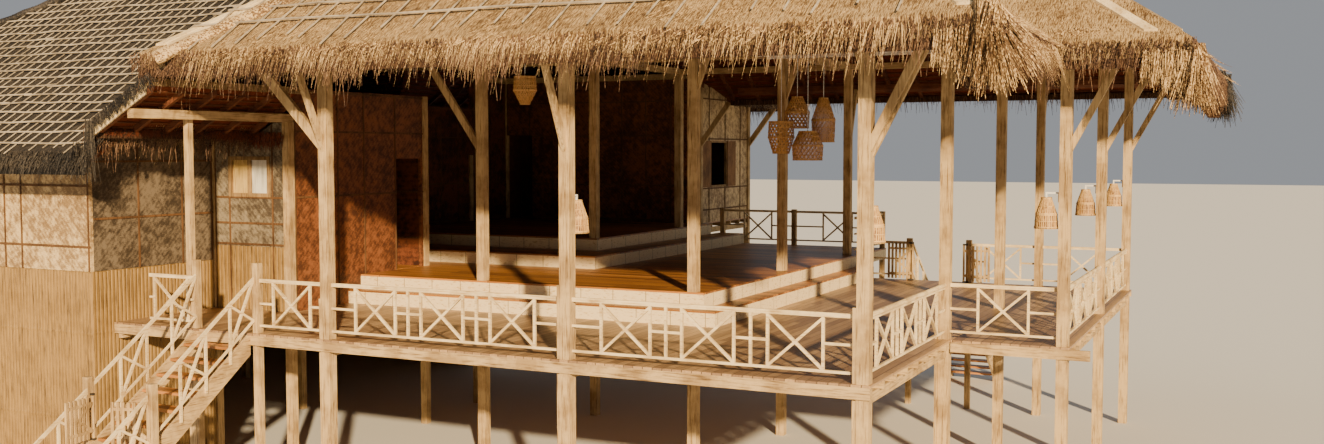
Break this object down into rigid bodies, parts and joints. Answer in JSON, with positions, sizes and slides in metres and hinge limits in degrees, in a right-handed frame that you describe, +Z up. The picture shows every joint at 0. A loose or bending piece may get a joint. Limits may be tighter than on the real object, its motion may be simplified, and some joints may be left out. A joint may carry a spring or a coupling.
{
  "type": "thatched stilt hall",
  "caption": "Thatched timber hall on stilts, open sides with crossed railings, stepped decks, a walled wing, a rear room and two stairs",
  "frame": {"origin": "on the ground at the middle of the near corner post's foot", "axes": "+X runs right along the front, +Y runs back into the hall, +Z is up"},
  "size_m": [26, 22.09, 11.3205],
  "materials": {
    "bamboo_strips": "upright split bamboo",
    "dark_wood": "smoke-dark timber",
    "deck_wood": "dark oiled planks",
    "lamp_weave": "open bamboo weave",
    "old_thatch": "old grey straw thatch",
    "pale_wood": "bare pale timber",
    "thatch": "dry straw thatch",
    "weathered_wood": "weathered timber",
    "woven_bamboo": "woven split bamboo"
  },
  "bodies": {
    "house": {"main_posts": "weathered_wood", "wing_posts": "weathered_wood", "newel_posts": "weathered_wood", "lower_decks": "deck_wood", "upper_decks": "deck_wood", "deck_steps": "deck_wood", "inner_platform": "deck_wood", "wing_floor": "deck_wood", "riser_and_sleeper_boards": "pale_wood", "floor_joists": "weathered_wood", "bearers": "weathered_wood", "edge_beams": "weathered_wood", "cross_plates": "weathered_wood", "tie_beams": "weathered_wood", "side_plates": "weathered_wood", "eave_purlins": "weathered_wood", "braces": "weathered_wood", "front_railings": "pale_wood", "side_railings": "pale_wood", "gallery_end_rails": "pale_wood", "back_railings": "pale_wood", "stair_treads": "deck_wood", "stair_stringers": "weathered_wood", "stair_rails": "pale_wood", "gate_pivots": "dark_wood", "wing_front_wall": "woven_bamboo", "wing_side_wall": "woven_bamboo", "window_wall": "woven_bamboo", "room_side_wall": "woven_bamboo", "recess_walls": "woven_bamboo", "rear_room_front_wall": "woven_bamboo", "rear_room_side_wall": "woven_bamboo", "window_frames": "pale_wood", "rear_shutters": "pale_wood", "outer_walls": "woven_bamboo", "skirting": "bamboo_strips", "front_thatch": "thatch", "east_thatch": "thatch", "west_thatch": "thatch", "gallery_front_thatch": "thatch", "gallery_east_thatch": "thatch", "rear_thatch": "thatch", "porch_thatch": "thatch", "wing_front_thatch": "old_thatch", "wing_back_thatch": "old_thatch", "rear_room_thatch": "thatch", "front_rafters": "dark_wood", "side_rafters": "dark_wood", "back_rafters": "dark_wood", "eave_fringe": "thatch", "roof_boards": "pale_wood", "lamp_shades": "lamp_weave", "hanging_baskets": "lamp_weave", "hangers": "weathered_wood"},
    "back_gate_left_leaf": {"back_gate_left": "pale_wood"},
    "back_gate_right_leaf": {"back_gate_right": "pale_wood"},
    "stair_gate_left_leaf": {"stair_gate_left": "pale_wood"},
    "stair_gate_right_leaf": {"stair_gate_right": "pale_wood"}
  },
  "joints": [
    {"name": "back_gate_left_hinge", "type": "hinge", "parent": "house", "child": "back_gate_left_leaf", "pos_m": [-2.631, 12.121, 2.74], "axis": [0, 0, 1], "range_deg": [0, 180]},
    {"name": "back_gate_right_hinge", "type": "hinge", "parent": "house", "child": "back_gate_right_leaf", "pos_m": [-1.529, 12.121, 2.74], "axis": [0, 0, 1], "range_deg": [-180, 0]},
    {"name": "stair_gate_left_hinge", "type": "hinge", "parent": "house", "child": "stair_gate_left_leaf", "pos_m": [-10.841, -2.055, 1.36643], "axis": [0, 0, 1], "range_deg": [0, 80]},
    {"name": "stair_gate_right_hinge", "type": "hinge", "parent": "house", "child": "stair_gate_right_leaf", "pos_m": [-9.739, -2.055, 1.36643], "axis": [0, 0, 1], "range_deg": [-20, 60]}
  ]
}
